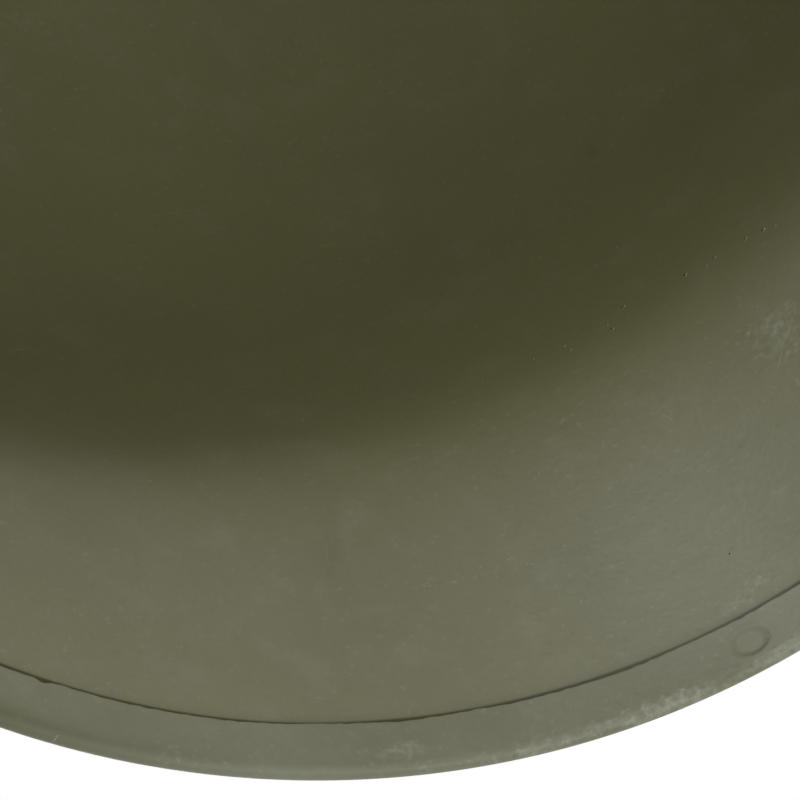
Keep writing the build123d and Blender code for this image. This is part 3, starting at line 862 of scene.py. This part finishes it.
def webbing_finish(name, base, shade_and_stain, pale):
    finish = Finish(name, Roughness=0.88, Specular_IOR_Level=0.2)
    woven = finish.mark("woven")
    along, across = finish.part(woven, 0), finish.part(woven, 1)
    turn = 2 * math.pi
    rib = finish.sum("SINE", along * (turn / rib_step))
    yarn = finish.sum("SINE", across * (turn / yarn_step) + along * yarn_slant)
    aside = finish.sum("ABSOLUTE", across)
    fuzz = finish.cloud(finish.place(), 900, 5, 0.7)
    stains = finish.cloud(finish.place(), 55, 5, 0.65)
    height = rib * 0.35 + yarn * 0.25 + fuzz * 0.7
    # The low parts of the weave are painted darker, as shade in its grooves, mixed with the yarn's own
    # mottle.
    colour = finish.blend(finish.ramp(height, 0.0, 0.8), shade_and_stain, base)
    colour = finish.blend(finish.ramp(aside, 7.8, 8.6) * 0.35, colour, pale)
    colour = finish.blend(finish.ramp(stains, 0.5, 0.75) * 0.35, colour, shade_and_stain)
    colour = finish.blend(finish.ramp(fuzz, 0.6, 0.8) * 0.35, colour, pale)
    finish.wear(Base_Color=colour, Normal=finish.relief(height, 0.0004, 0.9))
    return finish


webbing = webbing_finish("webbing", tint(128, 122, 90), tint(88, 84, 58), tint(162, 157, 126))
web_width, web = 19.0, 1.4
selvedge_power, face_power = 0.24, 0.45
read_error = 0.02


# %% Stations of a ribbon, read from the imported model
def ribbon_stations(node, start):
    """Middles, width directions and outward directions of a ribbon's stations, in order."""
    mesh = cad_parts[node].data
    corners = np.array([vertex.co for vertex in mesh.vertices]) / millimetre
    places, merged = np.unique(np.round(corners, 2), axis=0, return_inverse=True)
    merged = merged.ravel()
    pairs = {tuple(sorted(merged[list(edge.vertices)].tolist())) for edge in mesh.edges}
    pairs = np.array(sorted(pair for pair in pairs if pair[0] != pair[1]))
    spans = np.linalg.norm(places[pairs[:, 0]] - places[pairs[:, 1]], axis=1)
    cross = {tuple(pair) for pair in pairs[np.abs(spans - web_width) < read_error].tolist()}
    through = {corner: set() for corner in range(len(places))}
    for first, second in pairs[np.abs(spans - web) < read_error].tolist():
        through[first].add(second)
        through[second].add(first)
    stations, station_of = [], {}
    for first, second in sorted(cross):
        for third in sorted(through[first]):
            for fourth in sorted(through[second]):
                if tuple(sorted((third, fourth))) in cross and first not in station_of:
                    for corner in (first, second, third, fourth):
                        station_of[corner] = len(stations)
                    stations.append((first, second, third, fourth))
    beside = [set() for _ in stations]
    for first, second in pairs.tolist():
        here, there = station_of.get(first), station_of.get(second)
        if here is not None and there is not None and here != there:
            beside[here].add(there)
            beside[there].add(here)
    boxes = places[np.array(stations)]
    middles = boxes.mean(axis=1)
    ends = [place for place, others in enumerate(beside) if len(others) == 1]
    order = [min(ends, key=lambda place: np.linalg.norm(middles[place] - start))]
    while True:
        ahead = sorted(beside[order[-1]] - set(order))
        if not ahead:
            break
        order.append(min(ahead, key=lambda place: np.linalg.norm(middles[place] - middles[order[-1]])))
    boxes = boxes[order]
    wide = unit(boxes[:, 1] - boxes[:, 0])
    outward = unit(boxes[:, 2] + boxes[:, 3] - boxes[:, 0] - boxes[:, 1])
    for directions in (wide, outward):
        for place in range(1, len(order)):
            if directions[place] @ directions[place - 1] < 0:
                directions[place] *= -1
    return middles[order], wide, outward


def smooth_between(values, lengths, wanted):
    """Values at the wanted lengths, on a curve that passes through the given ones."""
    slopes = np.gradient(values, lengths, axis=0)
    after = np.clip(np.searchsorted(lengths, wanted, side="right"), 1, len(lengths) - 1)
    gap = (lengths[after] - lengths[after - 1])[:, None]
    part = (wanted - lengths[after - 1])[:, None] / gap
    rise = part * part * (3 - 2 * part)
    leave = part * (1 - part) ** 2 * gap
    arrive = -part * part * (1 - part) * gap
    curve = values[after - 1] * (1 - rise) + values[after] * rise
    return curve + slopes[after - 1] * leave + slopes[after] * arrive


def web_piece(name, middles, wide, outward, along, body=None):
    """A web with rounded selvedges along dense stations."""
    corners = 26
    turn = 2 * math.pi * (np.arange(corners) + 0.5) / corners
    across = np.sign(np.cos(turn)) * np.abs(np.cos(turn)) ** selvedge_power * web_width / 2
    raised = np.sign(np.sin(turn)) * np.abs(np.sin(turn)) ** face_power * web / 2
    points = middles[:, None] + wide[:, None] * across[:, None] + outward[:, None] * raised[:, None]
    rows = len(middles)
    faces = tube_faces(rows, corners)
    piece = make_piece(name, points.reshape(-1, 3), faces, webbing, body, sharp=70)
    lengthwise = np.repeat(along, corners)
    crosswise = np.tile(across, rows)
    add_mark(piece, "woven", np.stack([lengthwise, crosswise, 0 * crosswise], axis=-1))
    return piece


# %% Straps
web_step = 0.7


def bend_with(piece):
    """Bakes the piece's placement into its mesh."""
    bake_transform(piece)


for node, side in (("long_strap", 1), ("short_strap", -1)):
    rim = np.array([side * shell_width / 2, bowl_shift, 0])
    middles, wide, outward = ribbon_stations(node, rim)
    lengths = np.append(0, np.cumsum(np.linalg.norm(np.diff(middles, axis=0), axis=1)))
    along = np.linspace(0, lengths[-1], round(lengths[-1] / web_step))
    middles = smooth_between(middles, lengths, along)
    wide = unit(smooth_between(wide, lengths, along))
    outward = unit(smooth_between(outward, lengths, along))
    cut = int(np.argmax(np.abs(middles[:, 0])))
    sewn = slice(0, cut + 1)
    free = slice(cut, None)
    sewn_end = web_piece(node + "_sewn_end", middles[sewn], wide[sewn], outward[sewn], along[sewn])
    bend_with(sewn_end)
    stowed = web_piece(node + "_web", middles[free], wide[free], outward[free], along[free], "pot")
    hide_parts(node)
    print(node, "length", round(lengths[-1]), "mm in", len(along), "stations")

# %% [markdown]
# The sewn ends are held by bar tacks. Each packed tack is two thin plates; a plate's own axes say
# where the rows of stitches lie, and every stitch is a short length of thread that dips into the
# web at both ends.

# %% Stitches
thread_finish = Finish("thread", Roughness=0.7, Specular_IOR_Level=0.3)
twist = thread_finish.cloud(thread_finish.place(), 2600, 2, 0.5)
thread_finish.wear(
    Base_Color=thread_finish.blend(twist, tint(84, 82, 58), tint(128, 125, 96)),
    Normal=thread_finish.relief(twist, 0.0001, 0.6),
)
stitch_length, stitch_step, stitch_radius, row_step = 1.9, 2.1, 0.26, 1.3
stitch_rings, stitch_corners = 7, 6


def stitch(middle, along, aside, out, start):
    """The points and faces of one stitch."""
    rings, corners = stitch_rings, stitch_corners
    points = []
    for ring in range(rings):
        share = ring / (rings - 1)
        bend = math.sin(math.pi * share)
        centre = middle + along * (share - 0.5) * stitch_length + out * (bend - 0.9) * stitch_radius
        for corner in range(corners):
            turn = 2 * math.pi * corner / corners
            thick = stitch_radius * (0.55 + 0.45 * bend)
            points.append(centre + (aside * math.cos(turn) + out * math.sin(turn)) * thick)
    return points, tube_faces(rings, corners, start)


tack_sides = {"long_strap_loop_tack": 1, "short_strap_loop_tack": -1, "short_strap_ring_tack": 0}
for node, side in tack_sides.items():
    corners = np.array([vertex.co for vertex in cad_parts[node].data.vertices]) / millimetre
    centre = corners.mean(axis=0)
    long_way, short_way, apart = np.linalg.svd(corners - centre, full_matrices=False)[2]
    reach = (corners - centre) @ apart
    points, faces = [], []
    for sign in (1, -1):
        plate = centre + apart * reach[reach * sign > 0].mean()
        for row in (-1, 0, 1):
            for place in range(-3, 4):
                slant = short_way * (row * row_step)
                spot = plate + slant + long_way * (place * stitch_step)
                more = stitch(spot, long_way, short_way, apart * sign, len(points))
                points += more[0]
                faces += more[1]
    stitches = make_piece(node + "_stitches", points, faces, thread_finish, None if side else "pot")
    if side:
        bend_with(stitches)
    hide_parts(node)
    print(node, "stitches", len(points) // (stitch_rings * stitch_corners))

# %% [markdown]
# ## Brackets, loops and strap hardware
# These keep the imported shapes. The brackets are painted with the shell. The loops' paint has worn
# to steel where the web rubs, and the strap's ring, slide and end clip are blackened brass, which
# wears to a dull yellow.

# %% Hardware finishes
def metal_finish(name, coat, bare, coat_roughness, wear_from):
    finish = Finish(name)
    place = finish.place()
    patches = finish.cloud(place, 170, 6, 0.7)
    scratches = finish.cloud(finish.stretch(place, (1.0, 0.4, 2.6)), 700, 4, 0.7)
    bared = finish.ramp(patches * 0.7 + scratches * 0.3, wear_from, wear_from + 0.09)
    colour = finish.blend(finish.ramp(scratches, 0.35, 0.7) * 0.5, coat, tint(74, 70, 58))
    finish.wear(
        Base_Color=finish.blend(bared, colour, bare),
        Metallic=0.25 + bared * 0.7,
        Roughness=coat_roughness - bared * 0.16 + (patches - 0.5) * 0.1,
        Normal=finish.relief(patches * 0.6 + scratches * 0.4, 0.0001, 0.5),
    )
    return finish


loop_finish = metal_finish("loop_steel", tint(92, 92, 72), tint(150, 148, 140), 0.5, 0.56)
brass_finish = metal_finish("blackened_brass", tint(48, 45, 38), tint(168, 142, 88), 0.5, 0.6)
bracket_paint = olive_paint("bracket_paint", grain=0.03, rubbed=0.58, roughness=0.55)
for finish, nodes in (
    (bracket_paint, ("left_loop_bracket", "right_loop_bracket")),
    (loop_finish, ("left_loop", "right_loop")),
    (brass_finish, ("strap_ring", "hook_slide", "strap_end_clip")),
):
    for node in nodes:
        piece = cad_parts[node]
        piece.data.materials.clear()
        piece.data.materials.append(finish.material)
    print(finish.material.name, "on", ", ".join(nodes))

# %% [markdown]
# ## Floor, world and lamps
# The helmet stands on a pale floor, and the camera of the photograph looks at it from below, so
# the floor is clear from its back and lets the bowl's lamp through. From above it is plain and
# keeps the helmet's shadow. The white behind the helmet is the world's colour in camera rays.

# %% Floor and world
floor_finish = Finish("floor", Roughness=0.9)
floor_noise = floor_finish.cloud(floor_finish.place(), 9, 3)
floor_finish.wear(Base_Color=floor_finish.blend(floor_noise, tint(222, 222, 220), tint(230, 230, 228)))
floor_mix = floor_finish.node("ShaderNodeMixShader", sockets={
    0: floor_finish.node("ShaderNodeNewGeometry", out="Backfacing"),
    1: Tone(floor_finish, floor_finish.shader.outputs[0]),
    2: floor_finish.node("ShaderNodeBsdfTransparent"),
})
floor_finish.feed(floor_finish.tree.nodes["Material Output"].inputs["Surface"], floor_mix)
floor_reach = 4000.0
floor_turns = ((-1, -1), (1, -1), (1, 1), (-1, 1))
floor_corners = [(x * floor_reach, y * floor_reach, 0) for x, y in floor_turns]
floor = make_piece("floor", floor_corners, [[0, 1, 2, 3]], floor_finish, body=None)
floor.visible_shadow = False
floor.visible_diffuse = False

light_from_below, light_from_above, horizon_reach = 0.86, 0.62, 0.1
world = bpy.data.worlds.new("studio")
bpy.context.scene.world = world
world.use_nodes = True
background = world.node_tree.nodes["Background"]
background.inputs["Color"].default_value = (1, 1, 1, 1)
sky = NodeTree(world.node_tree)
clear = sky.node("ShaderNodeLightPath", out="Is Camera Ray")
for ray in ("Is Transmission Ray", "Is Glossy Ray"):
    clear = sky.sum("MAXIMUM", clear, sky.node("ShaderNodeLightPath", out=ray))
height = sky.part(sky.node("ShaderNodeTexCoord", out="Generated"), 2)
ambient = sky.node("ShaderNodeMapRange", sockets={
    "Value": height,
    "From Min": -horizon_reach,
    "From Max": horizon_reach,
    "To Min": light_from_below,
    "To Max": light_from_above,
})
level = sky.node("ShaderNodeMapRange", sockets={"Value": clear, "To Min": ambient})
sky.feed(background.inputs["Strength"], level)


# %% Lamps
def area_lamp(name, place, aim, size, power):
    lamp = add_object(name, bpy.data.lights.new(name, "AREA"))
    lamp.data.shape = "DISK"
    lamp.data.size = size
    lamp.data.energy = power
    lamp.location = place
    lamp.rotation_euler = (Vector(aim) - Vector(place)).to_track_quat("-Z", "Y").to_euler()


helmet_middle = (0, 0, 0.1)
bowl_middle = (0, -0.05, 0.1)
area_lamp("top_lamp", (0.5, -0.7, 1.6), helmet_middle, 1.0, 13)
area_lamp("side_lamp", (-1.4, -0.9, 0.9), helmet_middle, 1.0, 5)
area_lamp("brim_lamp", (0.0, 1.25, -0.29), (0.02, -0.12, 0.045), 0.5, 6.5)
area_lamp("crown_lamp", (-0.4, -0.5, -1.1), bowl_middle, 0.7, 3.5)
bpy.context.scene.view_settings.view_transform = "Standard"
